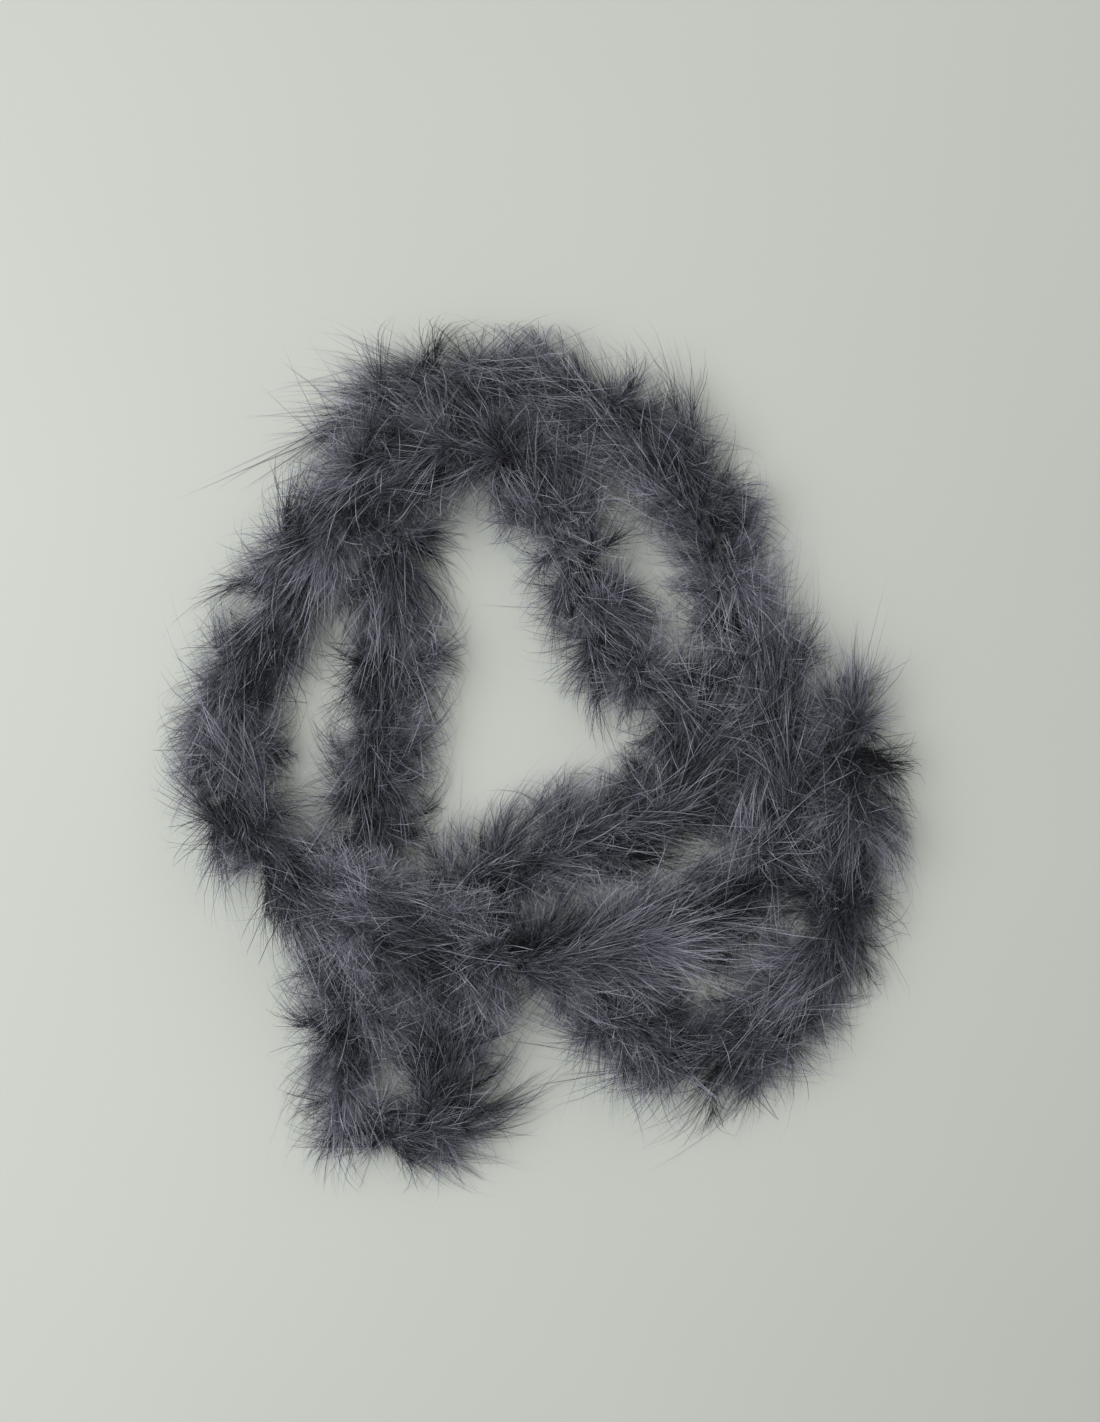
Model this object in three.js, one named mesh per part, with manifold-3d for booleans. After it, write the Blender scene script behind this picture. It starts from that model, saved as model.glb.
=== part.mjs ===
// A marabou feather boa, 2 m long, lying in loose loops on a table. Millimetres, +Z up.
// Two cord plies run side by side through forty tufts of down. Each end is whipped with
// thread and closed by a knot, and its last tufts swing on the limp core as one loose end.

import * as THREE from "three";
import { mergeVertices } from "three/addons/utils/BufferGeometryUtils.js";
import Module from "manifold-3d";

const wasm = await Module();
wasm.setup();

// Driving dimensions
const plyDiameter = 1.5;
const plyGap = 0.3; // between the two plies
const boreClearance = 0.4; // round the core, inside a tuft or a whipping
const tuftWidth = 28;
const tuftHeight = 24;
const tuftCount = 40;
const tuftEndShare = 0.78; // a tuft's width at its ends, of its full width
const flatHalfAngle = Math.PI / 6; // half the arc of a tuft that the table flattens
const crossingGap = 1.6; // between two strands where one lies on the other
const pieceGap = 0.3; // between pieces that touch
const whippingLength = 6;
const whippingWall = 1.1;
const knotDiameter = 6.4;
const swingGap = 6; // from a loose end's pivot to the tufts on each side of it
const coreSwingGap = 1; // from a loose end's pivot to the plies on each side of it
const looseTufts = 2; // tufts that swing with each loose end

// Where the boa lies: x, y and how many strands are under it, from one end to the other
const route = [
  [143, 39, 0], [145, -57, 0], [130, -92, 0], [108, -127, 0], [80, -141, 0],
  [50, -132, 0], [33, -109, 0], [50, -83, 0], [91, -70, 0], [112, -22, 0],
  [103, 46, 0], [83, 100, 0], [52, 150, 0], [-16, 173, 0], [-71, 165, 0],
  [-81, 142, 0], [-71, 115, 0], [-69, 70, 0], [-90, -114, 0], [-89, -149, 0],
  [-83, -171, 0], [-67, -179, 0], [-50, -171, 0], [-44, -149, 0], [-42, -114, 0],
  [-36, -70, 0], [-9, -49, 0], [49, -28, 0], [76, -6, 0], [71, 22, 0],
  [37, 49, 0], [-4, 132, 0.4], [-43, 142, 1], [-88, 118, 1], [-130, 56, 0],
  [-149, 0, 0], [-127, -44, 0.5], [-88, -69, 1], [-32, -89, 1], [57, -84, 1],
];

// Sizes that follow from them
const tuftTopRadius = tuftHeight / (1 + Math.cos(flatHalfAngle));
const coreHeight = tuftHeight - tuftTopRadius;
const liftHeight = tuftHeight + crossingGap;
const plyOffset = (plyDiameter + plyGap) / 2;
const boreSides = 10;
const boreRadius = (plyOffset + plyDiameter / 2 + boreClearance) / Math.cos(Math.PI / boreSides);
const stepsPerTuft = 2;
const stepCount = tuftCount * stepsPerTuft;
const looseSteps = looseTufts * stepsPerTuft;

// The core's line. The plies, tufts and whippings all follow the same short straight steps.
const routePoints = route.map(([x, y, under]) => new THREE.Vector3(x, y, under * liftHeight));
const routeCurve = new THREE.CatmullRomCurve3(routePoints, false, "centripetal");
routeCurve.arcLengthDivisions = 2000;
const corePoints = routeCurve.getSpacedPoints(stepCount);
for (const point of corePoints) {
  point.z = coreHeight + Math.max(0, point.z);
}
const stepLength = routeCurve.getLength() / stepCount;

// A whole step's place on the core, with the directions to its side and upwards
const stations = corePoints.map((point, i) => {
  const before = corePoints[Math.max(0, i - 1)];
  const after = corePoints[Math.min(stepCount, i + 1)];
  const along = new THREE.Vector3().subVectors(after, before).normalize();
  const side = new THREE.Vector3(0, 0, 1).cross(along).normalize();
  const up = new THREE.Vector3().crossVectors(along, side);
  return { point, along, side, up };
});

// The same at any number of steps from the first end
function stationAt(steps) {
  const first = Math.min(Math.floor(steps), stepCount - 1);
  const share = steps - first;
  const [a, b] = [stations[first], stations[first + 1]];
  return {
    point: a.point.clone().lerp(b.point, share),
    along: a.along.clone().lerp(b.along, share),
    side: a.side.clone().lerp(b.side, share),
    up: a.up.clone().lerp(b.up, share),
  };
}

// The stations from start to end: both ends, each whole step between, and points between those
function stationsBetween(start, end, divisions) {
  const whole = [start];
  for (let step = Math.floor(start) + 1; step < end; step += 1) {
    whole.push(step);
  }
  whole.push(end);
  const places = [start];
  for (let i = 1; i < whole.length; i += 1) {
    for (let part = 1; part <= divisions; part += 1) {
      places.push(whole[i - 1] + ((whole[i] - whole[i - 1]) * part) / divisions);
    }
  }
  return places.map((place) => ({ ...stationAt(place), share: (place - start) / (end - start) }));
}

// A path for ExtrudeGeometry through given stations, with a width for each
class CorePath extends THREE.Curve {
  constructor(places, widthAt) {
    super();
    this.places = places;
    this.widthAt = widthAt;
  }

  getSpacedPoints() {
    return this.places.map((place) => place.point);
  }

  computeFrenetFrames() {
    return {
      tangents: this.places.map((place) => place.along),
      normals: this.places.map((place) => place.side.clone().multiplyScalar(this.widthAt(place.share))),
      binormals: this.places.map((place) => place.up),
    };
  }
}

const fullWidth = () => 1;

// A round curve gets two sides for each of its segments
function sweep(section, sides, start, end, divisions = 1, widthAt = fullWidth) {
  const places = stationsBetween(start, end, divisions);
  return new THREE.ExtrudeGeometry(section, {
    steps: places.length - 1,
    curveSegments: sides / 2,
    bevelEnabled: false,
    extrudePath: new CorePath(places, widthAt),
  });
}

// A circle in the core's cross-section
function circle(radius, x = 0) {
  return new THREE.Shape().absarc(x, 0, radius, 0, 2 * Math.PI, false);
}

function solidOf(geometry) {
  const bare = geometry.clone();
  bare.deleteAttribute("normal");
  bare.deleteAttribute("uv");
  const merged = mergeVertices(bare, 1e-4);
  return new wasm.Manifold(
    new wasm.Mesh({
      numProp: 3,
      vertProperties: merged.attributes.position.array,
      triVerts: new Uint32Array(merged.index.array),
    }),
  );
}

function geometryOf(solid) {
  const mesh = solid.getMesh();
  const geometry = new THREE.BufferGeometry();
  geometry.setAttribute("position", new THREE.BufferAttribute(mesh.vertProperties, 3));
  geometry.setIndex(new THREE.BufferAttribute(mesh.triVerts, 1));
  return geometry;
}

// Materials
const down = new THREE.MeshStandardMaterial({ color: 0x5c5c6c, roughness: 0.9, metalness: 0 });
const cotton = new THREE.MeshStandardMaterial({ color: 0x3b3b45, roughness: 0.85, metalness: 0 });
const thread = new THREE.MeshStandardMaterial({ color: 0x2f2f38, roughness: 0.6, metalness: 0 });

const boa = new THREE.Group();

function addPiece(name, geometry, material) {
  const piece = new THREE.Mesh(geometry, material);
  piece.name = name;
  boa.add(piece);
}

// From the tip inwards, in steps: the knot's middle, then the first ply, whipping and tuft
const knotMiddle = knotDiameter / 2 / stepLength;
const plyStart = (knotDiameter + pieceGap) / stepLength;
const whippingStart = plyStart + pieceGap / stepLength;
const whippingEnd = whippingStart + whippingLength / stepLength;
const tuftStart = whippingEnd + pieceGap / stepLength;

const pivotA = looseSteps;
const pivotB = stepCount - looseSteps;
const coreGap = coreSwingGap / stepLength;

// The core's two plies, each in three lengths that meet at the pivots
const coreLengths = {
  loose_end_a: [plyStart, pivotA - coreGap],
  body: [pivotA + coreGap, pivotB - coreGap],
  loose_end_b: [pivotB + coreGap, stepCount - plyStart],
};
const plySides = 8;
for (const [length, [start, end]] of Object.entries(coreLengths)) {
  for (const [ply, side] of [["left", 1], ["right", -1]]) {
    const section = circle(plyDiameter / 2, side * plyOffset);
    addPiece(`core_ply_${ply}_${length}`, sweep(section, plySides, start, end), cotton);
  }
}

// The tufts of down, threaded on the core one after another
const tuftHalfWidth = tuftWidth / 2;
const tuftSection = new THREE.Shape().absellipse(
  0, 0, tuftHalfWidth, tuftTopRadius, flatHalfAngle - Math.PI / 2, 1.5 * Math.PI - flatHalfAngle, false,
);
const tuftSectionSides = 10;
const tuftDivisions = 2;
const boreSection = circle(boreRadius);
const boreOverrun = 1 / stepLength;

const swell = (share) => tuftEndShare + (1 - tuftEndShare) * Math.sin(Math.PI * share);

function tuftGeometry(start, end) {
  const fluff = solidOf(sweep(tuftSection, tuftSectionSides, start, end, tuftDivisions, swell));
  const bore = solidOf(sweep(boreSection, boreSides, start - boreOverrun, end + boreOverrun));
  return geometryOf(fluff.subtract(bore));
}

for (let i = 0; i < tuftCount; i += 1) {
  const stops = [i * stepsPerTuft, (i + 1) * stepsPerTuft];
  const gaps = stops.map((stop) => {
    if (stop === 0 || stop === stepCount) {
      return tuftStart;
    }
    const swings = stop === pivotA || stop === pivotB;
    return (swings ? swingGap : pieceGap / 2) / stepLength;
  });
  const name = `plume_tuft_${String(i + 1).padStart(2, "0")}`;
  addPiece(name, tuftGeometry(stops[0] + gaps[0], stops[1] - gaps[1]), down);
}

// At each end, a whipping of thread round both plies and a knot that closes them
const whippingSection = circle(boreRadius + whippingWall);
whippingSection.holes.push(boreSection);
const whippingSides = 10;
for (const [end, place] of [["a", (steps) => steps], ["b", (steps) => stepCount - steps]]) {
  const stops = [place(whippingStart), place(whippingEnd)].sort((a, b) => a - b);
  addPiece(`end_whipping_${end}`, sweep(whippingSection, whippingSides, ...stops), thread);
  const knot = new THREE.SphereGeometry(knotDiameter / 2, 14, 9);
  const middle = stationAt(place(knotMiddle)).point;
  knot.translate(middle.x, middle.y, middle.z);
  addPiece(`end_knot_${end}`, knot, cotton);
}

export default boa;
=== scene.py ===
import math

import bpy
import numpy as np
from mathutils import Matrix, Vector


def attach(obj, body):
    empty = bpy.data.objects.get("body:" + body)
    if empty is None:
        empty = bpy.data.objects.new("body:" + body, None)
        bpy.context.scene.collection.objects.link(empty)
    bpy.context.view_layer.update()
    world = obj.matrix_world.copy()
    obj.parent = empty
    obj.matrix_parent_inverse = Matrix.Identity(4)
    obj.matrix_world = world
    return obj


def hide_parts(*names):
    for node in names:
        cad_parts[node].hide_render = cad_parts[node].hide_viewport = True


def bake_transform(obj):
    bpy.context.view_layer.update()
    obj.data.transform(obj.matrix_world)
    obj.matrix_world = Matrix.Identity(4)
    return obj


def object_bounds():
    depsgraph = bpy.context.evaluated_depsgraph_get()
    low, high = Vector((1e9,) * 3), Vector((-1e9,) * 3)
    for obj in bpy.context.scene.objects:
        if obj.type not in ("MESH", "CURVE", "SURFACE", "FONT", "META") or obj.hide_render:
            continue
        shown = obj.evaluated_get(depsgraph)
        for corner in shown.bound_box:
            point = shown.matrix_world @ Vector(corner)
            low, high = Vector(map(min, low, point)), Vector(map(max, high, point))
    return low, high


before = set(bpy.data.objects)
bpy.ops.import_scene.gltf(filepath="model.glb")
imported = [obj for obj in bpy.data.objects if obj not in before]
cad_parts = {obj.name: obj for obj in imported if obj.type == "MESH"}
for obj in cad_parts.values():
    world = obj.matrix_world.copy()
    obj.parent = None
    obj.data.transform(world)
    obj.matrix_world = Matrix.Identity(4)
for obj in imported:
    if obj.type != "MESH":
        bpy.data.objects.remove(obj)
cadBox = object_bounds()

mm = 0.001
mapName = "OFBake"
ringsPerMap = 24  # rings of a wound yarn that one length of the map covers


# Camera, straight above the boa, upright frame

cameraSetup = {
    "over": (0.00527, 0.02229),
    "height": 0.95,
    "sharpHeight": 0.011,  # the core's height, where the long side takes in seenLength
    "seenLength": 0.6683,
    "sensor": 36.0,
}


def placeCamera(setup):
    x, y = setup["over"]
    bpy.ops.object.camera_add(location=(x, y, setup["height"]), rotation=(0, 0, 0))
    camera = bpy.context.object
    camera.name = "overheadCamera"
    camera.data.sensor_width = setup["sensor"]
    reach = setup["height"] - setup["sharpHeight"]
    camera.data.lens = setup["sensor"] * reach / setup["seenLength"]
    bpy.context.scene.camera = camera


placeCamera(cameraSetup)
print("camera placed")


# The line that the core lies along: x, y in metres, and how many strands lie under it

layout = {
    "points": [
        (0.143, 0.039, 0), (0.145, -0.057, 0), (0.130, -0.092, 0), (0.108, -0.127, 0),
        (0.080, -0.141, 0), (0.050, -0.132, 0), (0.033, -0.109, 0), (0.050, -0.083, 0),
        (0.091, -0.070, 0), (0.112, -0.022, 0), (0.103, 0.046, 0), (0.083, 0.100, 0),
        (0.052, 0.150, 0), (-0.016, 0.173, 0), (-0.071, 0.165, 0), (-0.081, 0.142, 0),
        (-0.071, 0.115, 0), (-0.069, 0.070, 0), (-0.090, -0.114, 0), (-0.089, -0.149, 0),
        (-0.083, -0.171, 0), (-0.067, -0.179, 0), (-0.050, -0.171, 0), (-0.044, -0.149, 0),
        (-0.042, -0.114, 0), (-0.036, -0.070, 0), (-0.009, -0.049, 0), (0.049, -0.028, 0),
        (0.076, -0.006, 0), (0.071, 0.022, 0), (0.037, 0.049, 0), (-0.004, 0.132, 0.4),
        (-0.043, 0.142, 1), (-0.088, 0.118, 1), (-0.130, 0.056, 0), (-0.149, 0.000, 0),
        (-0.127, -0.044, 0.5), (-0.088, -0.069, 1), (-0.032, -0.089, 1), (0.057, -0.084, 1),
    ],
    "coreHeight": 11.1384 * mm,
    "liftHeight": 25.6 * mm,
    "pointsPerSpan": 80,
    "steps": 80,  # the tufts take two steps each
    "looseSteps": 4,  # at each end, the steps that swing
}


def smoothLine(points, perSpan):
    # A centripetal Catmull-Rom curve, as the core's own
    p = np.array(points, float)
    p = np.vstack([2 * p[0] - p[1], p, 2 * p[-1] - p[-2]])
    u = np.linspace(0, 1, perSpan, endpoint=False)[:, None]
    line = []
    for a, b, c, d in zip(p, p[1:], p[2:], p[3:]):
        ab, bc, cd = (math.sqrt(np.linalg.norm(v)) for v in (b - a, c - b, d - c))
        leave = ((b - a) / ab - (c - a) / (ab + bc) + (c - b) / bc) * bc
        arrive = ((c - b) / bc - (d - b) / (bc + cd) + (d - c) / cd) * bc
        square = -3 * b + 3 * c - 2 * leave - arrive
        cube = 2 * b - 2 * c + leave + arrive
        line.append(b + leave * u + square * u**2 + cube * u**3)
    return np.vstack([*line, p[-2]])


def unit(v):
    return v / np.maximum(np.linalg.norm(v, axis=-1, keepdims=True), 1e-12)


lifted = np.array(layout["points"], float) * (1, 1, layout["liftHeight"])
line = smoothLine(lifted, layout["pointsPerSpan"])
line[:, 2] = layout["coreHeight"] + np.maximum(0, line[:, 2])
lineAlong = np.r_[0, np.cumsum(np.linalg.norm(np.diff(line, axis=0), axis=1))]
lineLength = lineAlong[-1]
stepLength = lineLength / layout["steps"]
lineTangent = unit(np.gradient(line, lineAlong, axis=0))


def lineAt(along):
    # Point, forward, left and up at each distance along the core, straight on past its ends
    def read(values):
        return np.stack([np.interp(along, lineAlong, v) for v in values.T], axis=-1)

    forward = unit(read(lineTangent))
    past = along - np.clip(along, 0, lineLength)
    point = read(line) + past[..., None] * forward
    left = unit(np.cross((0.0, 0.0, 1.0), forward))
    return point, forward, left, np.cross(forward, left)


print(f"core line laid, {lineLength:.4f} m")


# Materials

def newMaterial(name):
    material = bpy.data.materials.new(name)
    material.use_nodes = True
    nodes = material.node_tree.nodes
    return material, nodes, material.node_tree.links, nodes["Principled BSDF"]


def addNode(nodes, kind, **values):
    node = nodes.new(kind)
    for key, value in values.items():
        setattr(node, key, value)
    return node


def shadeRamp(nodes, stops):
    ramp = nodes.new("ShaderNodeValToRGB")
    elements = ramp.color_ramp.elements
    while len(elements) < len(stops):
        elements.new(0.5)
    for element, (place, colour) in zip(elements, stops):
        element.position = place
        element.color = (*colour, 1)
    return ramp


downFinish = {
    # the barbs' colour from root to tip: darkened towards the root as painted shade where the down is
    # dense round the core
    "shadedRootToTip": [
        (0.0, (0.007, 0.007, 0.009)),
        (0.25, (0.020, 0.020, 0.026)),
        (0.6, (0.070, 0.070, 0.086)),
        (1.0, (0.310, 0.312, 0.352)),
    ],
    "paleGain": 2.9,
    "deepGain": 0.18,
    # the quills darken towards the root the same way, as painted shade round the core
    "quillColour": [(0.0, (0.10, 0.098, 0.12)), (1.0, (0.50, 0.50, 0.56))],
    "quillFrom": 0.9,  # the strip of the map that the quills take
    "roughness": (0.82, 0.6),
    "quillRoughness": 0.42,
    "sheen": 0.08,
    "sheenRoughness": 0.5,
    "sheenTint": (0.80, 0.82, 1.0),
    "specular": 0.2,
}


def dyedDown(finish):
    # Across the map: root to tip, with barbs and quills darkened towards the root as painted shade of
    # the dense down round the core. Up the map: deep to pale barbs, then the quills.
    material, nodes, links, shader = newMaterial("dyedDown")
    place = addNode(nodes, "ShaderNodeUVMap", uv_map=mapName)
    split = nodes.new("ShaderNodeSeparateXYZ")
    links.new(place.outputs["UV"], split.inputs["Vector"])
    barb = shadeRamp(nodes, finish["shadedRootToTip"])
    quill = shadeRamp(nodes, finish["quillColour"])
    for ramp in (barb, quill):
        links.new(split.outputs["X"], ramp.inputs["Fac"])
    gain = nodes.new("ShaderNodeMapRange")
    gain.inputs["From Max"].default_value = finish["quillFrom"]
    gain.inputs["To Min"].default_value = finish["deepGain"]
    gain.inputs["To Max"].default_value = finish["paleGain"]
    links.new(split.outputs["Y"], gain.inputs["Value"])
    shade = addNode(nodes, "ShaderNodeVectorMath", operation="SCALE")
    links.new(barb.outputs["Color"], shade.inputs[0])
    links.new(gain.outputs["Result"], shade.inputs["Scale"])
    isQuill = addNode(nodes, "ShaderNodeMath", operation="GREATER_THAN")
    isQuill.inputs[1].default_value = finish["quillFrom"]
    links.new(split.outputs["Y"], isQuill.inputs[0])
    colour = addNode(nodes, "ShaderNodeMix", data_type="RGBA")
    links.new(isQuill.outputs["Value"], colour.inputs["Factor"])
    links.new(shade.outputs["Vector"], colour.inputs["A"])
    links.new(quill.outputs["Color"], colour.inputs["B"])
    links.new(colour.outputs["Result"], shader.inputs["Base Color"])
    rough = nodes.new("ShaderNodeMapRange")
    rough.inputs["To Min"].default_value, rough.inputs["To Max"].default_value = finish["roughness"]
    links.new(split.outputs["X"], rough.inputs["Value"])
    sleek = addNode(nodes, "ShaderNodeMix", data_type="FLOAT")
    links.new(isQuill.outputs["Value"], sleek.inputs["Factor"])
    links.new(rough.outputs["Result"], sleek.inputs["A"])
    sleek.inputs["B"].default_value = finish["quillRoughness"]
    links.new(sleek.outputs["Result"], shader.inputs["Roughness"])
    shader.inputs["Sheen Weight"].default_value = finish["sheen"]
    shader.inputs["Sheen Roughness"].default_value = finish["sheenRoughness"]
    shader.inputs["Sheen Tint"].default_value = (*finish["sheenTint"], 1)
    shader.inputs["Specular IOR Level"].default_value = finish["specular"]
    return material


fibreLook = {
    "unevenScale": 9,
    "unevenDetail": 3,
    "waveShare": 0.3,  # how much the regular fibres count against the uneven ones
    "roughness": (0.95, 0.7),
    "bumpStrength": 0.5,
    "sheen": 0.2,
}


def spunFibreGroup():
    # Fine fibres that run round a yarn at a slant. Vector: x along the yarn, y round it.
    group = bpy.data.node_groups.new("spunFibre", "ShaderNodeTree")
    for name, kind, way in (
        ("Vector", "NodeSocketVector", "INPUT"),
        ("Fibres", "NodeSocketFloat", "INPUT"),
        ("Turns", "NodeSocketFloat", "INPUT"),
        ("Deep", "NodeSocketColor", "INPUT"),
        ("Pale", "NodeSocketColor", "INPUT"),
        ("Color", "NodeSocketColor", "OUTPUT"),
        ("Roughness", "NodeSocketFloat", "OUTPUT"),
        ("Height", "NodeSocketFloat", "OUTPUT"),
    ):
        group.interface.new_socket(name=name, in_out=way, socket_type=kind)
    nodes, links = group.nodes, group.links
    given = nodes.new("NodeGroupInput")
    result = nodes.new("NodeGroupOutput")
    split = nodes.new("ShaderNodeSeparateXYZ")
    links.new(given.outputs["Vector"], split.inputs["Vector"])

    def maths(operation, first, second):
        node = addNode(nodes, "ShaderNodeMath", operation=operation)
        for socket, value in zip(node.inputs, (first, second)):
            if isinstance(value, (int, float)):
                socket.default_value = value
            else:
                links.new(value, socket)
        return node.outputs["Value"]

    slant = maths(
        "ADD",
        maths("MULTIPLY", split.outputs["X"], given.outputs["Turns"]),
        maths("MULTIPLY", split.outputs["Y"], given.outputs["Fibres"]),
    )
    wave = maths("SINE", maths("MULTIPLY", slant, 2 * math.pi), 0)
    uneven = nodes.new("ShaderNodeTexNoise")
    uneven.inputs["Scale"].default_value = fibreLook["unevenScale"]
    uneven.inputs["Detail"].default_value = fibreLook["unevenDetail"]
    links.new(given.outputs["Vector"], uneven.inputs["Vector"])
    height = maths("ADD", maths("MULTIPLY", wave, fibreLook["waveShare"]), uneven.outputs["Fac"])
    links.new(height, result.inputs["Height"])
    # the colour follows the height: deeper in the grooves between the fibres, as painted shade, and
    # uneven with the noise, as the yarn's own uneven tone
    colour = addNode(nodes, "ShaderNodeMix", data_type="RGBA")
    links.new(height, colour.inputs["Factor"])
    links.new(given.outputs["Deep"], colour.inputs["A"])
    links.new(given.outputs["Pale"], colour.inputs["B"])
    links.new(colour.outputs["Result"], result.inputs["Color"])
    rough = nodes.new("ShaderNodeMapRange")
    rough.inputs["To Min"].default_value, rough.inputs["To Max"].default_value = fibreLook["roughness"]
    links.new(height, rough.inputs["Value"])
    links.new(rough.outputs["Result"], result.inputs["Roughness"])
    return group


spunFibre = spunFibreGroup()


def spunYarn(name, finish):
    material, nodes, links, shader = newMaterial(name)
    if finish["onMap"]:
        place = addNode(nodes, "ShaderNodeUVMap", uv_map=mapName).outputs["UV"]
    else:
        place = nodes.new("ShaderNodeTexCoord").outputs["Object"]
    centre = nodes.new("ShaderNodeMapping")
    centre.inputs["Scale"].default_value = (finish["scale"],) * 3
    links.new(place, centre.inputs["Vector"])
    yarn = addNode(nodes, "ShaderNodeGroup", node_tree=spunFibre)
    yarn.inputs["Fibres"].default_value = finish["fibres"]
    yarn.inputs["Turns"].default_value = finish["turns"]
    yarn.inputs["Deep"].default_value = (*finish["deep"], 1)
    yarn.inputs["Pale"].default_value = (*finish["pale"], 1)
    links.new(centre.outputs["Vector"], yarn.inputs["Vector"])
    links.new(yarn.outputs["Color"], shader.inputs["Base Color"])
    links.new(yarn.outputs["Roughness"], shader.inputs["Roughness"])
    bump = nodes.new("ShaderNodeBump")
    bump.inputs["Strength"].default_value = fibreLook["bumpStrength"]
    bump.inputs["Distance"].default_value = finish["bump"]
    links.new(yarn.outputs["Height"], bump.inputs["Height"])
    links.new(bump.outputs["Normal"], shader.inputs["Normal"])
    shader.inputs["Sheen Weight"].default_value = fibreLook["sheen"]
    return material


coreFinish = {
    "onMap": True, "scale": 1.0, "fibres": 6, "turns": 8, "bump": 0.06 * mm,
    "deep": (0.018, 0.018, 0.026), "pale": (0.075, 0.073, 0.10),
}
threadFinish = {
    "onMap": True, "scale": 1.0, "fibres": 3, "turns": 12, "bump": 0.03 * mm,
    "deep": (0.025, 0.025, 0.034), "pale": (0.12, 0.12, 0.155),
}
whippingFinish = {
    "onMap": False, "scale": 900.0, "fibres": 1, "turns": 1, "bump": 0.03 * mm,
    "deep": (0.03, 0.03, 0.04), "pale": (0.14, 0.14, 0.18),
}
downMaterial = dyedDown(downFinish)
coreMaterial = spunYarn("dyedCotton", coreFinish)
threadMaterial = spunYarn("bindingThread", threadFinish)
whippingMaterial = spunYarn("whippingThread", whippingFinish)
print("materials mixed")


# Mesh making for the cord, the thread and the down

def makeMesh(name, points, faceSets, material):
    # faceSets: corner numbers and map places of faces that have as many corners each
    mesh = bpy.data.meshes.new(name)
    corners = np.concatenate([f.ravel() for f, _ in faceSets])
    places = np.concatenate([uv.reshape(-1, 2) for _, uv in faceSets])
    sizes = np.concatenate([np.full(len(f), f.shape[1]) for f, _ in faceSets])
    mesh.vertices.add(len(points))
    mesh.vertices.foreach_set("co", np.ascontiguousarray(points, np.float32).ravel())
    mesh.loops.add(len(corners))
    mesh.loops.foreach_set("vertex_index", corners.astype(np.int32))
    mesh.polygons.add(len(sizes))
    starts = np.r_[0, np.cumsum(sizes)[:-1]]
    mesh.polygons.foreach_set("loop_start", starts.astype(np.int32))
    mesh.update(calc_edges=True)
    mesh.polygons.foreach_set("use_smooth", np.ones(len(sizes), bool))
    layer = mesh.uv_layers.new(name=mapName)
    layer.data.foreach_set("uv", places.astype(np.float32).ravel())
    mesh.validate()
    mesh.materials.append(material)
    piece = bpy.data.objects.new(name, mesh)
    bpy.context.collection.objects.link(piece)
    return piece


def tubeSkin(middle, across, upwards, radius, sides):
    # Rings about each middle point, skinned with quads, with a point at each end to close it
    count = len(middle)
    angle = np.arange(sides) * 2 * math.pi / sides
    radius = np.broadcast_to(radius, count)[:, None, None]
    angle = angle[None, :, None]
    spoke = np.cos(angle) * across[:, None] + np.sin(angle) * upwards[:, None]
    rings = middle[:, None] + radius * spoke
    points = np.vstack([rings.reshape(-1, 3), middle[:1], middle[-1:]])
    ring, side = np.meshgrid(np.arange(count - 1), np.arange(sides), indexing="ij")
    nextSide = (side + 1) % sides
    foot, head = ring * sides, (ring + 1) * sides
    quads = np.stack([foot + side, foot + nextSide, head + nextSide, head + side], axis=-1)
    quads = quads.reshape(-1, 4)
    u0 = (ring % ringsPerMap) / ringsPerMap
    u1 = u0 + 1 / ringsPerMap
    v0, v1 = side / sides, (side + 1) / sides
    quadMap = np.stack([u0, v0, u0, v1, u1, v1, u1, v0], axis=-1).reshape(-1, 4, 2)
    first, last = np.arange(sides), (count - 1) * sides + np.arange(sides)
    low, high = count * sides, count * sides + 1
    caps = np.vstack([
        np.stack([np.roll(first, -1), first, np.full(sides, low)], axis=-1),
        np.stack([last, np.roll(last, -1), np.full(sides, high)], axis=-1),
    ])
    s0, s1 = np.arange(sides) / sides, (np.arange(sides) + 1) / sides
    edge = np.full(sides, 1 / ringsPerMap)
    capMap = np.stack([0 * edge, s0, 0 * edge, s1, edge, s0], axis=-1).reshape(-1, 3, 2)
    return points, quads, quadMap, caps, np.vstack([capMap, capMap])


def woundTube(along, reach, pitch, phase, radius, sides):
    # A tube that winds round the core's line, with its middle at reach from it
    point, forward, left, up = lineAt(along)
    turn = (phase + 2 * math.pi * along / pitch)[:, None]
    outward = np.cos(turn) * left + np.sin(turn) * up
    onward = -np.sin(turn) * left + np.cos(turn) * up
    heading = unit(forward + reach * 2 * math.pi / pitch * onward)
    return tubeSkin(point + reach * outward, outward, np.cross(heading, outward), radius, sides)


def joinSkins(name, skins, material):
    points, faceSets, offset = [], [], 0
    for skin in skins:
        points.append(skin[0])
        faceSets.append((skin[1] + offset, skin[2]))
        faceSets.append((skin[3] + offset, skin[4]))
        offset += len(skin[0])
    return makeMesh(name, np.vstack(points), faceSets, material)


# The core: two cotton plies laid round each other, in one long run and two loose tails

core = {
    "plyRadius": 0.75 * mm,
    "plyReach": 0.80 * mm,
    "pitch": 9.0 * mm,
    "ringSpacing": 0.9 * mm,
    "sides": 8,
    "start": 4.2 * mm,  # from the tip, inside the knot
    "pastPivot": 20.0 * mm,
    "blendHalf": 18.0 * mm,
}
pivotAlong = {
    "a": layout["looseSteps"] * stepLength,
    "b": lineLength - layout["looseSteps"] * stepLength,
}


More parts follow.
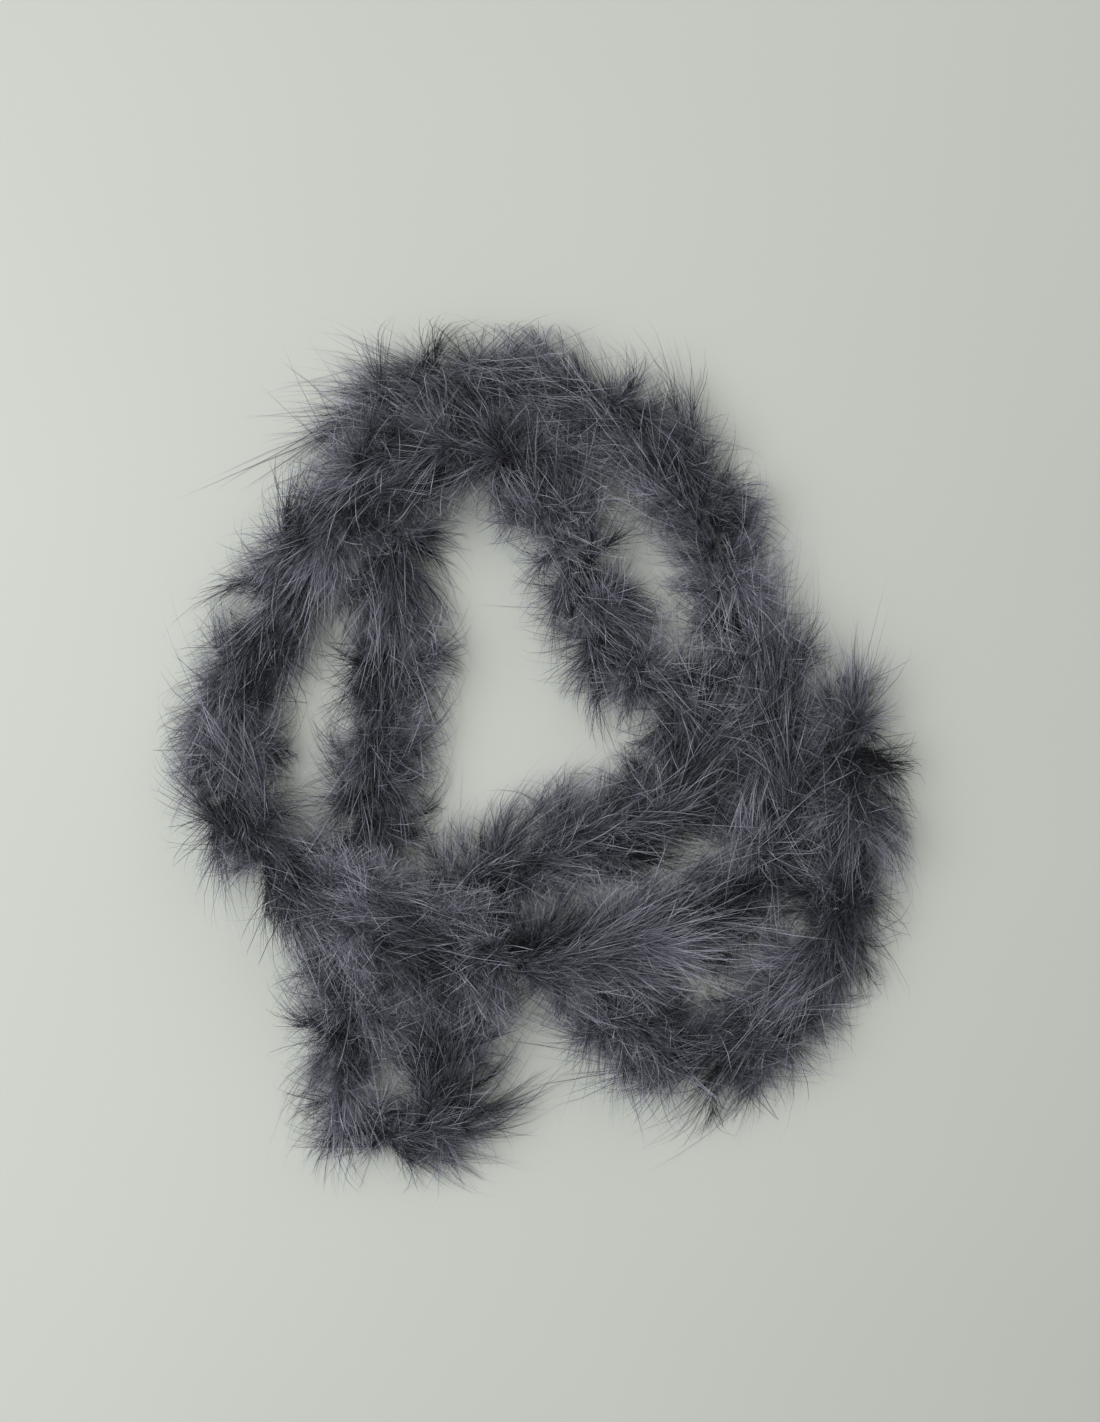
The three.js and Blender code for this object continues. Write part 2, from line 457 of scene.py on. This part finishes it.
def layCore(name, start, end):
    rings = max(2, round((end - start) / core["ringSpacing"]) + 1)
    along = np.linspace(start, end, rings)
    skins = [
        woundTube(along, core["plyReach"], core["pitch"], phase, core["plyRadius"], core["sides"])
        for phase in (0, math.pi)
    ]
    piece = joinSkins(name, skins, coreMaterial)
    return piece, lineAt(along)[0], end - start


def followPivot(piece, end):
    # For a piece from the laid run to the loose end: finds the spots either side of the pivot, which
    # nothing uses, and bakes the piece's placement into its mesh
    towards = -1 if end == "a" else 1
    reach = core["blendHalf"] * towards
    spots = lineAt(pivotAlong[end] + np.array([-reach, reach]))[0]
    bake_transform(piece)


bodyRange = (pivotAlong["a"] + core["pastPivot"], pivotAlong["b"] - core["pastPivot"])
tailRange = {
    "a": (core["start"], bodyRange[0]),
    "b": (bodyRange[1], lineLength - core["start"]),
}
coreBody, bodyPath, bodyLength = layCore("coreBody", *bodyRange)
coreTails = {end: layCore(f"coreTail_{end}", *tailRange[end]) for end in "ab"}
print("core laid")


# Thread wound along the core, which holds the plumes' quills on it

binding = {
    "radius": 0.2 * mm,
    "reach": 1.75 * mm,
    "pitch": -4.6 * mm,
    "ringSpacing": 0.5 * mm,
    "sides": 5,
    "fromTip": 13.4 * mm,
    "phase": 0.7,  # radians round the core
}


def windBinding(name, start, end):
    along = np.linspace(start, end, round((end - start) / binding["ringSpacing"]) + 1)
    skin = woundTube(
        along, binding["reach"], binding["pitch"], binding["phase"], binding["radius"], binding["sides"]
    )
    piece = joinSkins(name, [skin], threadMaterial)
    return piece


bindingBody = windBinding("bindingBody", *bodyRange)
bindingTails = {
    "a": windBinding("bindingTail_a", binding["fromTip"], bodyRange[0]),
    "b": windBinding("bindingTail_b", bodyRange[1], lineLength - binding["fromTip"]),
}
print("binding wound")


# At each end, a whipping of close thread turns, and a knot

whipping = {
    "length": 6.0 * mm,
    "fromTip": 6.9 * mm,
    "threadRadius": 0.3 * mm,
    "reach": 1.95 * mm,
    "turns": 10,
    "stepsPerTurn": 18,
    "threadSides": 8,
}
knot = {
    "seed": 5,
    "fromTip": 3.2 * mm,
    "strandRadius": 0.78 * mm,
    "size": 0.86 * mm,  # scale of the knot's line
    "stations": 110,
    "sides": 10,
    "frayed": 26,
    "frayLength": 4.5 * mm,
    "frayRadius": 0.11 * mm,
    "frayTaper": 0.7,
    "frayRings": 6,
    "fraySides": 4,
    "frayFan": (0.55, 0.4),  # spread sideways and upright of the way they point
    "frayCurl": 0.25,
    "frayShortest": 0.55,
    "frayRoot": (-1.2 * mm, 0.5 * mm, 0.4 * mm),  # outward, then spread sideways and upright
    "openFrom": 0.35,  # where the knot's line is cut open, in radians from its start and end
    "depth": 1.1,
    "floorGap": 0.5 * mm,
}


def tipSpot(end, fromTip):
    # Point and inward, left and up directions at a distance from a tip
    along = fromTip if end == "a" else lineLength - fromTip
    point, forward, left, up = (v[0] for v in lineAt(np.array([along])))
    inward = forward if end == "a" else -forward
    return point, inward, np.cross(up, inward), up


def placeOn(piece, point, xWay, yWay, zWay):
    # Sets a piece made at the origin in its place and keeps its object at the origin
    turn = np.column_stack([xWay, yWay, zWay])
    points = np.empty(len(piece.data.vertices) * 3)
    piece.data.vertices.foreach_get("co", points)
    points = points.reshape(-1, 3) @ turn.T + point
    piece.data.vertices.foreach_set("co", points.ravel())
    piece.data.update()


def windWhipping(end):
    bpy.ops.object.select_all(action="DESELECT")
    bpy.ops.mesh.primitive_circle_add(
        vertices=whipping["threadSides"],
        radius=whipping["threadRadius"],
        location=(whipping["reach"], 0, 0),
        rotation=(math.pi / 2, 0, 0),
    )
    piece = bpy.context.object
    piece.name = f"endWhipping_{end}"
    bpy.ops.object.transform_apply(location=True, rotation=True, scale=True)
    screw = piece.modifiers.new("turns", "SCREW")
    screw.axis = "Z"
    screw.screw_offset = whipping["length"] / whipping["turns"]
    screw.iterations = whipping["turns"]
    screw.steps = screw.render_steps = whipping["stepsPerTurn"]
    screw.use_smooth_shade = True
    bpy.ops.object.modifier_apply(modifier=screw.name)
    bpy.ops.object.mode_set(mode="EDIT")
    bpy.ops.mesh.select_all(action="SELECT")
    bpy.ops.mesh.remove_doubles(threshold=1e-6)
    bpy.ops.mesh.fill_holes(sides=whipping["threadSides"])
    bpy.ops.mesh.normals_make_consistent(inside=False)
    bpy.ops.object.mode_set(mode="OBJECT")
    point, inward, left, up = tipSpot(end, whipping["fromTip"])
    placeOn(piece, point, left, up, inward)
    piece.data.materials.append(whippingMaterial)
    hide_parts(f"end_whipping_{end}")
    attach(piece, f"loose_end_{end}")
    return piece


def strandFrames(middle):
    # Across and up for a strand that turns freely in space, carried along it without twisting
    heading = unit(np.gradient(middle, axis=0))
    across = np.zeros_like(middle)
    across[0] = unit(np.cross(heading[0], (0.3, 0.5, 0.8)))
    for i in range(1, len(middle)):
        kept = across[i - 1] - heading[i] * np.dot(across[i - 1], heading[i])
        across[i] = kept / np.linalg.norm(kept)
    return across, np.cross(heading, across)


def tieKnot(end, rng):
    point, inward, left, up = tipSpot(end, knot["fromTip"])
    turn = np.column_stack([inward, left, up])
    t = np.linspace(knot["openFrom"], 2 * math.pi - knot["openFrom"], knot["stations"])
    looped = np.stack(
        [
            -(np.cos(t) - 2 * np.cos(2 * t)),
            np.sin(t) + 2 * np.sin(2 * t),
            -knot["depth"] * np.sin(3 * t),
        ],
        axis=-1,
    )
    middle = looped * knot["size"] @ turn.T + point
    skins = [tubeSkin(middle, *strandFrames(middle), knot["strandRadius"], knot["sides"])]
    for _ in range(knot["frayed"]):  # the cut ends of the plies, teased out
        way = unit(np.array([-1.0, *(rng.normal(0, fan) for fan in knot["frayFan"])]))
        curl = rng.normal(0, knot["frayCurl"], 3)
        u = np.linspace(0, 1, knot["frayRings"])[:, None]
        reach = knot["frayLength"] * rng.uniform(knot["frayShortest"], 1.0)
        out, *spreads = knot["frayRoot"]
        root = (out, *(rng.normal(0, spread) for spread in spreads))
        fibre = reach * (u * way + u**2 * curl) + root
        fibre = fibre @ turn.T + point
        fibre[:, 2] = np.maximum(fibre[:, 2], knot["floorGap"])
        radius = knot["frayRadius"] * (1 - knot["frayTaper"] * u[:, 0])
        skins.append(tubeSkin(fibre, *strandFrames(fibre), radius, knot["fraySides"]))
    piece = joinSkins(f"endKnot_{end}", skins, coreMaterial)
    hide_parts(f"end_knot_{end}")
    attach(piece, f"loose_end_{end}")
    return piece


knotRng = np.random.default_rng(knot["seed"])
whippings = {end: windWhipping(end) for end in "ab"}
knots = {end: tieKnot(end, knotRng) for end in "ab"}
print("ends whipped and tied")


# What each length of core is, and what moves the laid run; the tails are given no mover

plySides = ("left", "right")
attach(coreBody, "laid_boa")
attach(bindingBody, "laid_boa")
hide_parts(*(f"core_ply_{side}_body" for side in plySides))
for end in "ab":
    tail, tailPath, tailLength = coreTails[end]
    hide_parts(*(f"core_ply_{side}_loose_end_{end}" for side in plySides))
    followPivot(tail, end)
    followPivot(bindingTails[end], end)


# The down: locks of plumes, each plume a fine quill with soft barbs on both sides

plumage = {
    "seed": 23,
    "fromTip": 13.6 * mm,
    "locks": 570,
    "plumesPerLock": 3,
    "quillLength": 13.0 * mm,
    "quillLengthSpread": 0.17,
    "quillRadius": 0.2 * mm,
    "quillTaper": 0.75,
    "quillRings": 7,
    "quillRoot": 1.6 * mm,  # how far from the core's middle it starts
    "upReach": 21.0 * mm,
    "sideReach": 39.0 * mm,
    "edgeGive": 9.0 * mm,  # how far in from the outermost reach the down starts to give
    "floorGap": 0.5 * mm,
    "lean": 18.0,  # degrees, along the strand
    "leanDrift": 16.0,
    "crownLean": 9.0,
    "tipLean": 40.0,  # over the knots at the two ends
    "tipReach": 30.0 * mm,
    "tipLeanRange": (0.3, 1.35),
    "tipShortening": 0.28,
    "lockLength": (0.68, 1.25, 2.6),  # least, how much more the longest have, how rare they are
    "lockLeanSpread": 20,  # spreads in degrees unless noted
    "plumeAngleSpread": 20,
    "plumeLeanSpread": 21,
    "plumeAlongSpread": 3.5 * mm,
    "lockBendSpread": 0.38,  # bends are shares of the quill's length
    "bendPerLean": 0.006,
    "plumeBendSpread": 0.18,
    "plumeSideBend": 0.28,
    "sag": 0.24,
    "faceUp": 0.9,
    "faceSpread": 0.35,
    "driftLength": 230 * mm,
    "shade": 0.40,  # place on the map from deep to pale
    "lockShadeSpread": 0.25,
    "shadeDrift": 0.17,
    "shadeDriftLength": 120 * mm,
    "plumeShadeSpread": 0.07,
}
barbKind = {
    "each": 112,
    "length": 18.5 * mm,
    "width": 0.22 * mm,
    "widthRange": (0.7, 1.25),
    "taper": (0.86, 1.2),  # how much thinner at the tip, and how late
    "cuts": (0, 0.34, 0.68, 1),  # where it bends, from its root to its tip
    "wander": 0.03,  # share of its length
    "open": (66, -40, 18),  # degrees off the quill: at its foot, change to its tip, spread
    "lift": 42,
    "follow": 0.85,  # how much it turns along its quill
    "curl": 0.44,
    "sag": 0.22,
    "lengthRange": (0.35, 1.3),
    "shade": 0.0,
    "shadeSpread": 0.15,
}
footKind = {
    "each": 26,
    "length": 12.0 * mm,
    "width": 0.22 * mm,
    "widthRange": (0.7, 1.2),
    "taper": (0.86, 1.2),
    "cuts": (0, 0.34, 0.68, 1),
    "wander": 0.03,
    "highest": 0.22,  # share of the quill's length
    "outwards": 0.35,
    "spread": 0.62,
    "curl": 0.35,
    "sag": 0.12,
    "lengthRange": (0.6, 1.2),
    # deeper than the barbs: painted shade where the foot down lies deep round the core
    "shade": -0.22,
    "shadeSpread": 0.12,
}
wispKind = {
    "each": 15,
    "length": 34.0 * mm,
    "longest": 40.0 * mm,
    "width": 0.29 * mm,
    "widthRange": (0.7, 1.3),
    "taper": (0.66, 2.0),
    "cuts": (0, 0.2, 0.4, 0.6, 0.8, 1),
    "wander": 0.012,
    "lowest": 0.25,
    "spread": 0.3,
    "follow": 1.6,  # how much it takes its quill's bend
    "curl": 0.9,
    "sag": 0.2,
    "lengthRange": (0.5, 1.25),
    "shade": 0.12,
    "shadeSpread": 0.2,
}
downMap = {
    "rootAt": 0.02,  # across the map, root to tip
    "tipAt": 0.98,
    "barbHalf": 0.012,  # half the height of a barb's strip up the map
    "deepest": 0.02,
    "palest": 0.87,
    "quillLow": 0.93,
    "quillStrip": 0.02,
}
upWay = np.array([0.0, 0.0, 1.0])
cadLow, cadHigh = (np.array(corner) for corner in cadBox)
standsProud = 0.03 * (cadHigh - cadLow) + 9 * mm  # the most that down may pass the plain tufts by
farthest = (cadLow - standsProud, cadHigh + standsProud)


def drift(along, wavelength, rng):
    # A slow uneven wander along the boa, about -1 to 1
    total = np.zeros_like(along)
    for stretch in (1.0, 0.61, 0.37, 0.23):
        total += np.sin(2 * math.pi * along / (wavelength * stretch) + rng.uniform(0, 2 * math.pi))
    return total / 2.2


def soften(value, limit):
    # Leaves small values and brings large ones in under the limit
    return value / (1 + np.abs(value / limit) ** 4) ** 0.25


rooting = {
    "lowest": 135,  # degrees round the core from straight up
    "crownThinning": 0.85,
    "crownWidth": 30,
    "underFrom": 112,
    "underFade": 7,
    "turn": 0.618034,  # from one lock to the next, so that neighbours are spread evenly
    "jitter": 0.06,
}


def rootAngles(share):
    # Angles round the core: few on the crown, most at the sides, few below
    angle = np.linspace(-rooting["lowest"], rooting["lowest"], 541)
    crown = 1 - rooting["crownThinning"] * np.exp(-((angle / rooting["crownWidth"]) ** 2))
    under = 1 / (1 + np.exp((np.abs(angle) - rooting["underFrom"]) / rooting["underFade"]))
    total = np.cumsum(crown * under)
    return np.interp(share, total / total[-1], angle)


def growQuills(p, rng):
    count = p["locks"]
    dressed = lineLength - 2 * p["fromTip"]
    lockAlong = p["fromTip"] + dressed * (np.arange(count) + rng.uniform(0, 1, count)) / count
    jitter = rng.uniform(-rooting["jitter"], rooting["jitter"], count)
    lockAngle = rootAngles((np.arange(count) * rooting["turn"] + jitter) % 1)
    lockLean = p["lean"] + p["leanDrift"] * drift(lockAlong, p["driftLength"], rng)
    lockLean = lockLean + rng.normal(0, p["lockLeanSpread"], count)
    least, more, rarity = p["lockLength"]
    lockLength = least + more * rng.uniform(0, 1, count) ** rarity
    for fromEnd, way in ((lockAlong, -1), (lineLength - lockAlong, 1)):
        near = np.clip((fromEnd - p["fromTip"]) / p["tipReach"], 0, 1)
        pulled = (1 - near) * way * p["tipLean"] * rng.uniform(*p["tipLeanRange"], count)
        lockLean = near * lockLean + pulled
        lockLength = lockLength * (1 - p["tipShortening"] * (1 - near))
    crownShare = np.exp(-((lockAngle / 35) ** 2))
    lockLean = lockLean + p["crownLean"] * np.sign(lockLean) * crownShare
    lockBend = rng.normal(0, p["lockBendSpread"], count) + p["bendPerLean"] * lockLean
    lockShade = p["lockShadeSpread"] * rng.normal(0, 1, count)
    lockShade = lockShade + p["shadeDrift"] * drift(lockAlong, p["shadeDriftLength"], rng)
    lock = np.repeat(np.arange(count), p["plumesPerLock"])
    n = len(lock)
    along = lockAlong[lock] + rng.normal(0, p["plumeAlongSpread"], n)
    along = np.clip(along, p["fromTip"], lineLength - p["fromTip"])
    angle = np.radians(lockAngle[lock] + rng.normal(0, p["plumeAngleSpread"], n))
    lean = np.radians(lockLean[lock] + rng.normal(0, p["plumeLeanSpread"], n))[:, None]
    point, forward, left, up = lineAt(along)
    outward = np.cos(angle)[:, None] * up + np.sin(angle)[:, None] * left
    heading = np.cos(lean) * outward + np.sin(lean) * forward
    sideways = unit(np.cross(outward, forward))
    bend = (lockBend[lock] + rng.normal(0, p["plumeBendSpread"], n))[:, None] * forward
    bend = bend + rng.normal(0, p["plumeSideBend"], n)[:, None] * sideways - p["sag"] * upWay
    facing = np.cross(heading, np.cross(outward + p["faceUp"] * upWay, heading))
    facing = unit(facing + rng.normal(0, p["faceSpread"], (n, 3)))
    facing = unit(facing - heading * (facing * heading).sum(-1, keepdims=True))
    return {
        "along": along,
        "root": point + p["quillRoot"] * outward,
        "core": point,
        "left": left,
        "heading": heading,
        "bend": bend,
        "facing": facing,
        "across": np.cross(facing, heading),
        "outward": outward,
        "length": p["quillLength"] * lockLength[lock] * (1 + rng.normal(0, p["quillLengthSpread"], n)),
        "shade": p["shade"] + lockShade[lock] + rng.normal(0, p["plumeShadeSpread"], n),
    }


def onQuill(q, plume, t):
    t = t[:, None]
    way = t * q["heading"][plume] + t**2 * q["bend"][plume]
    spot = q["root"][plume] + q["length"][plume][:, None] * way
    return spot, unit(q["heading"][plume] + 2 * t * q["bend"][plume])


def settle(p, q, plume, points):
    # Down gives way to the table, to its own weight and to its neighbours
    core = q["core"][plume][:, None]
    left = q["left"][plume][:, None]
    offset = points - core
    height = offset[..., 2:]
    downReach = layout["coreHeight"] - p["floorGap"]
    settled = np.where(height > 0, soften(height, p["upReach"]), soften(height, downReach))
    flat = offset * (1, 1, 0)
    across = (flat * left).sum(-1, keepdims=True)
    flat = flat + (soften(across, p["sideReach"]) - across) * left
    resting = core + flat + settled * upWay
    for low, high, way in zip(farthest[0], farthest[1], range(2)):
        inner = (low + p["edgeGive"], high - p["edgeGive"])
        over = resting[..., way] - np.clip(resting[..., way], *inner)
        resting[..., way] += p["edgeGive"] * np.tanh(over / p["edgeGive"]) - over
    return resting


def ribbons(p, kind, q, plume, base, heading, curl, length, width, rng):
    # Flat tapering barbs, as pairs of points and a last one at the tip
    cuts, wander, thinning = kind["cuts"], kind["wander"], kind["taper"]
    n = len(plume)
    u = np.array(cuts)[None, :, None]
    way = heading[:, None] * u + 0.5 * curl[:, None] * u**2
    sway = rng.normal(0, wander, (n, len(cuts), 3)) * np.minimum(u, 1) * (u > 0)
    middle = base[:, None] + length[:, None, None] * (way + sway)
    along = unit(heading[:, None] + curl[:, None] * u)
    seen = unit(0.45 * q["outward"][plume] + 0.75 * upWay + rng.normal(0, 0.5, (n, 3)))
    edge = unit(np.cross(along, seen[:, None]))
    taper = 1 - thinning[0] * np.array(cuts) ** thinning[1]
    half = 0.5 * width[:, None, None] * taper[None, :, None] * edge
    pairs = np.stack([middle - half, middle + half], axis=2)
    pairs = pairs[:, :-1].reshape(n, -1, 3)
    return settle(p, q, plume, np.concatenate([pairs, middle[:, -1:]], axis=1))


def ribbonFaces(cuts, shade, offset):
    # Quads up to the last pair, then the tip's triangle, with their places on the map
    n, pairs = len(shade), len(cuts) - 1
    start = offset + np.arange(n)[:, None] * (2 * pairs + 1)
    k = 2 * np.arange(pairs - 1)
    quads = np.stack([start + k, start + k + 1, start + k + 3, start + k + 2], axis=-1).reshape(-1, 4)
    last = 2 * (pairs - 1)
    tips = np.stack([start[:, 0] + last, start[:, 0] + last + 1, start[:, 0] + last + 2], axis=-1)
    u = downMap["rootAt"] + np.array(cuts) * (downMap["tipAt"] - downMap["rootAt"])
    low, high = shade[:, None] - downMap["barbHalf"], shade[:, None] + downMap["barbHalf"]
    u0, u1 = np.broadcast_to(u[:-2], (n, pairs - 1)), np.broadcast_to(u[1:-1], (n, pairs - 1))
    v0, v1 = np.broadcast_to(low, u0.shape), np.broadcast_to(high, u0.shape)
    quadMap = np.stack([u0, v0, u0, v1, u1, v1, u1, v0], axis=-1).reshape(-1, 4, 2)
    flat = np.ones(n)
    tipMap = np.stack([flat * u[-2], low[:, 0], flat * u[-2], high[:, 0], flat * u[-1], shade], axis=-1)
    return quads, quadMap, tips, tipMap.reshape(-1, 3, 2)


def dress(kind, q, owner, rng):
    # Width and place on the map from deep to pale, of each barb
    width = kind["width"] * rng.uniform(*kind["widthRange"], len(owner))
    shade = q["shade"][owner] + kind["shade"] + rng.normal(0, kind["shadeSpread"], len(owner))
    return width, np.clip(shade, downMap["deepest"], downMap["palest"])


def growBarbs(p, q, plume, rng):
    # Along both sides of each quill, wide at its foot and closing towards its tip
    kind = barbKind
    each = kind["each"]
    owner = np.repeat(plume, each)
    n = len(owner)
    t = np.tile((np.arange(each) + 0.5) / each, len(plume))
    t = np.clip(0.06 + 0.94 * t**1.4 + rng.normal(0, 0.01, n), 0.03, 1)
    side = np.tile(np.where(np.arange(each) % 2, 1.0, -1.0), len(plume))[:, None]
    base, tangent = onQuill(q, owner, t)
    atFoot, towardsTip, spread = kind["open"]
    opening = np.radians(atFoot + towardsTip * t + rng.normal(0, spread, n))[:, None]
    lift = np.radians(rng.normal(0, kind["lift"], n))[:, None]
    outward = side * np.cos(lift) * q["across"][owner] + np.sin(lift) * q["facing"][owner]
    heading = np.cos(opening) * tangent + np.sin(opening) * outward
    curl = kind["follow"] * (tangent - heading) + q["bend"][owner]
    curl = curl + rng.normal(0, kind["curl"], (n, 3)) - kind["sag"] * upWay
    length = kind["length"] * (0.85 + 0.25 * np.sin(math.pi * t)) * (1 - 0.15 * t)
    length = length * np.sqrt(q["length"][owner] / p["quillLength"])
    least, more = kind["lengthRange"]
    length = length * (least + more * rng.uniform(0, 1, n) ** 2)
    width, shade = dress(kind, q, owner, rng)
    return ribbons(p, kind, q, owner, base, heading, curl, length, width, rng), kind["cuts"], shade


def growFootDown(p, q, plume, rng):
    # Loose down at the foot of each quill, which hides the core and fills in between the plumes; it is
    # set deeper on the map, as painted shade of the dense down by the core
    kind = footKind
    owner = np.repeat(plume, kind["each"])
    n = len(owner)
    t = rng.uniform(0, kind["highest"], n)
    base, tangent = onQuill(q, owner, t)
    heading = tangent + kind["outwards"] * q["outward"][owner]
    heading = unit(heading + rng.normal(0, kind["spread"], (n, 3)))
    curl = rng.normal(0, kind["curl"], (n, 3)) - kind["sag"] * upWay
    length = kind["length"] * rng.uniform(*kind["lengthRange"], n)
    width, shade = dress(kind, q, owner, rng)
    return ribbons(p, kind, q, owner, base, heading, curl, length, width, rng), kind["cuts"], shade


def growWisps(p, q, plume, rng):
    # A few long loose barbs that stray past the rest
    kind = wispKind
    owner = np.repeat(plume, kind["each"])
    n = len(owner)
    t = rng.uniform(kind["lowest"], 1, n)
    base, tangent = onQuill(q, owner, t)
    stray = unit(tangent + rng.normal(0, kind["spread"], (n, 3)))
    curl = kind["follow"] * q["bend"][owner] + rng.normal(0, kind["curl"], (n, 3)) - kind["sag"] * upWay
    length = kind["length"] * rng.uniform(*kind["lengthRange"], n) * (1.15 - 0.4 * t)
    length = soften(length * np.sqrt(q["length"][owner] / p["quillLength"]), kind["longest"])
    width, shade = dress(kind, q, owner, rng)
    return ribbons(p, kind, q, owner, base, stray, curl, length, width, rng), kind["cuts"], shade


def growShafts(p, q, plume):
    # The quills themselves, three-sided and tapering
    rings = p["quillRings"]
    n = len(plume)
    points = []
    for t in np.linspace(0, 1, rings + 1)[:-1]:
        spot, tangent = onQuill(q, plume, np.full(n, t))
        across = unit(np.cross(tangent, upWay + 0.01))
        upwards = np.cross(across, tangent)
        radius = p["quillRadius"] * (1 - p["quillTaper"] * t)
        for corner in range(3):
            turn = 2 * math.pi * corner / 3
            points.append(spot + radius * (math.cos(turn) * across + math.sin(turn) * upwards))
    points.append(onQuill(q, plume, np.ones(n))[0])
    points = settle(p, q, plume, np.stack(points, axis=1))
    ring, corner = np.meshgrid(np.arange(rings - 1), np.arange(3), indexing="ij")
    nextCorner = (corner + 1) % 3
    foot, head = ring * 3, (ring + 1) * 3
    quads = np.stack([foot + corner, foot + nextCorner, head + nextCorner, head + corner], axis=-1)
    quads = quads.reshape(-1, 4)
    last = 3 * (rings - 1)
    tips = np.array([[last + c, last + (c + 1) % 3, last + 3] for c in range(3)])
    u = np.linspace(downMap["rootAt"], downMap["tipAt"], rings + 1)
    low = downMap["quillLow"] + downMap["quillStrip"] * np.arange(3)
    high = low + downMap["quillStrip"]
    u0, u1 = u[ring], u[ring + 1]
    v0, v1 = low[corner], high[corner]
    quadMap = np.stack([u0, v0, u0, v1, u1, v1, u1, v0], axis=-1).reshape(-1, 4, 2)
    tipMap = np.array([[(u[-2], low[c]), (u[-2], high[c]), (u[-1], high[0])] for c in range(3)])
    return points, quads, quadMap, tips, tipMap


def fluffPiece(name, p, q, plume, rng):
    points, faceSets, offset = [], [], 0
    for grow in (growBarbs, growFootDown, growWisps):
        ribbon, cuts, shade = grow(p, q, plume, rng)
        quads, quadMap, tips, tipMap = ribbonFaces(cuts, shade, offset)
        points.append(ribbon.reshape(-1, 3))
        faceSets += [(quads, quadMap), (tips, tipMap)]
        offset += ribbon.shape[0] * ribbon.shape[1]
    shafts, quads, quadMap, tips, tipMap = growShafts(p, q, plume)
    start = offset + np.arange(len(plume))[:, None, None] * shafts.shape[1]
    count = len(plume)
    points.append(shafts.reshape(-1, 3))
    faceSets.append(((start + quads).reshape(-1, 4), np.tile(quadMap, (count, 1, 1))))
    faceSets.append(((start + tips).reshape(-1, 3), np.tile(tipMap, (count, 1, 1))))
    return makeMesh(name, np.vstack(points), faceSets, downMaterial)


downRng = np.random.default_rng(plumage["seed"])
quills = growQuills(plumage, downRng)
tuftOf = np.clip((quills["along"] / (2 * stepLength)).astype(int), 0, layout["steps"] // 2 - 1)
acrossPivot = {2: "a", 3: "a", 38: "b", 39: "b"}
wholeOn = {1: "loose_end_a", 40: "loose_end_b"}
triangles = 0
for tuft in range(1, layout["steps"] // 2 + 1):
    plumes = np.flatnonzero(tuftOf == tuft - 1)
    fluff = fluffPiece(f"downTuft_{tuft:02d}", plumage, quills, plumes, downRng)
    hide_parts(f"plume_tuft_{tuft:02d}")
    if tuft in acrossPivot:
        followPivot(fluff, acrossPivot[tuft])
    else:
        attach(fluff, wholeOn.get(tuft, "laid_boa"))
    triangles += len(fluff.data.loops) - 2 * len(fluff.data.polygons)
print(f"down grown, {triangles} triangles")


# Table, light and view

setting = {
    "table": (0.665, 0.675, 0.605),
    "tableSize": 6,
    "tableMottle": 0.015,  # how far its tint strays either way
    "mottleScale": 3,
    "mottleDetail": 2,
    "tableRoughness": 0.6,
    "tableSpecular": 0.2,
    "lights": {
        "windowLight": {
            "place": (-0.85, 0.0, 1.3), "size": 1.4, "power": 20.5, "colour": (0.94, 0.97, 1.0),
        },
        "roomLight": {
            "place": (0.7, 0.9, 1.1), "size": 1.2, "power": 4.0, "colour": (1.0, 0.98, 0.94),
        },
    },
    "sky": (0.90, 0.94, 0.95),
    "skyStrength": 0.262,
}


def makeTable(s):
    bpy.ops.object.select_all(action="DESELECT")
    bpy.ops.mesh.primitive_plane_add(size=s["tableSize"], location=(0, 0, 0))
    table = bpy.context.object
    table.name = "tableTop"
    material, nodes, links, shader = newMaterial("paleTable")
    place = nodes.new("ShaderNodeTexCoord")
    mottle = nodes.new("ShaderNodeTexNoise")
    mottle.inputs["Scale"].default_value = s["mottleScale"]
    mottle.inputs["Detail"].default_value = s["mottleDetail"]
    links.new(place.outputs["Object"], mottle.inputs["Vector"])
    deep = [c * (1 - s["tableMottle"]) for c in s["table"]]
    pale = [c * (1 + s["tableMottle"]) for c in s["table"]]
    shade = shadeRamp(nodes, [(0.3, deep), (0.7, pale)])
    links.new(mottle.outputs["Fac"], shade.inputs["Fac"])
    links.new(shade.outputs["Color"], shader.inputs["Base Color"])
    shader.inputs["Roughness"].default_value = s["tableRoughness"]
    shader.inputs["Specular IOR Level"].default_value = s["tableSpecular"]
    table.data.materials.append(material)


def aimedLight(name, place, size, power, colour):
    bpy.ops.object.light_add(type="AREA", location=place)
    light = bpy.context.object
    light.name = name
    light.data.shape = "SQUARE"
    light.data.size = size
    light.data.energy = power
    light.data.color = colour
    x, y, z = place
    flat = math.hypot(x, y)
    light.rotation_euler = (math.atan2(flat, z), 0, math.atan2(y, x) + math.pi / 2)


makeTable(setting)
for name, light in setting["lights"].items():
    aimedLight(name, **light)
world = bpy.data.worlds.new("softRoom")
world.use_nodes = True
world.node_tree.nodes["Background"].inputs["Color"].default_value = (*setting["sky"], 1)
world.node_tree.nodes["Background"].inputs["Strength"].default_value = setting["skyStrength"]
bpy.context.scene.world = world
bpy.context.scene.view_settings.view_transform = "Standard"
print("table and lights set")
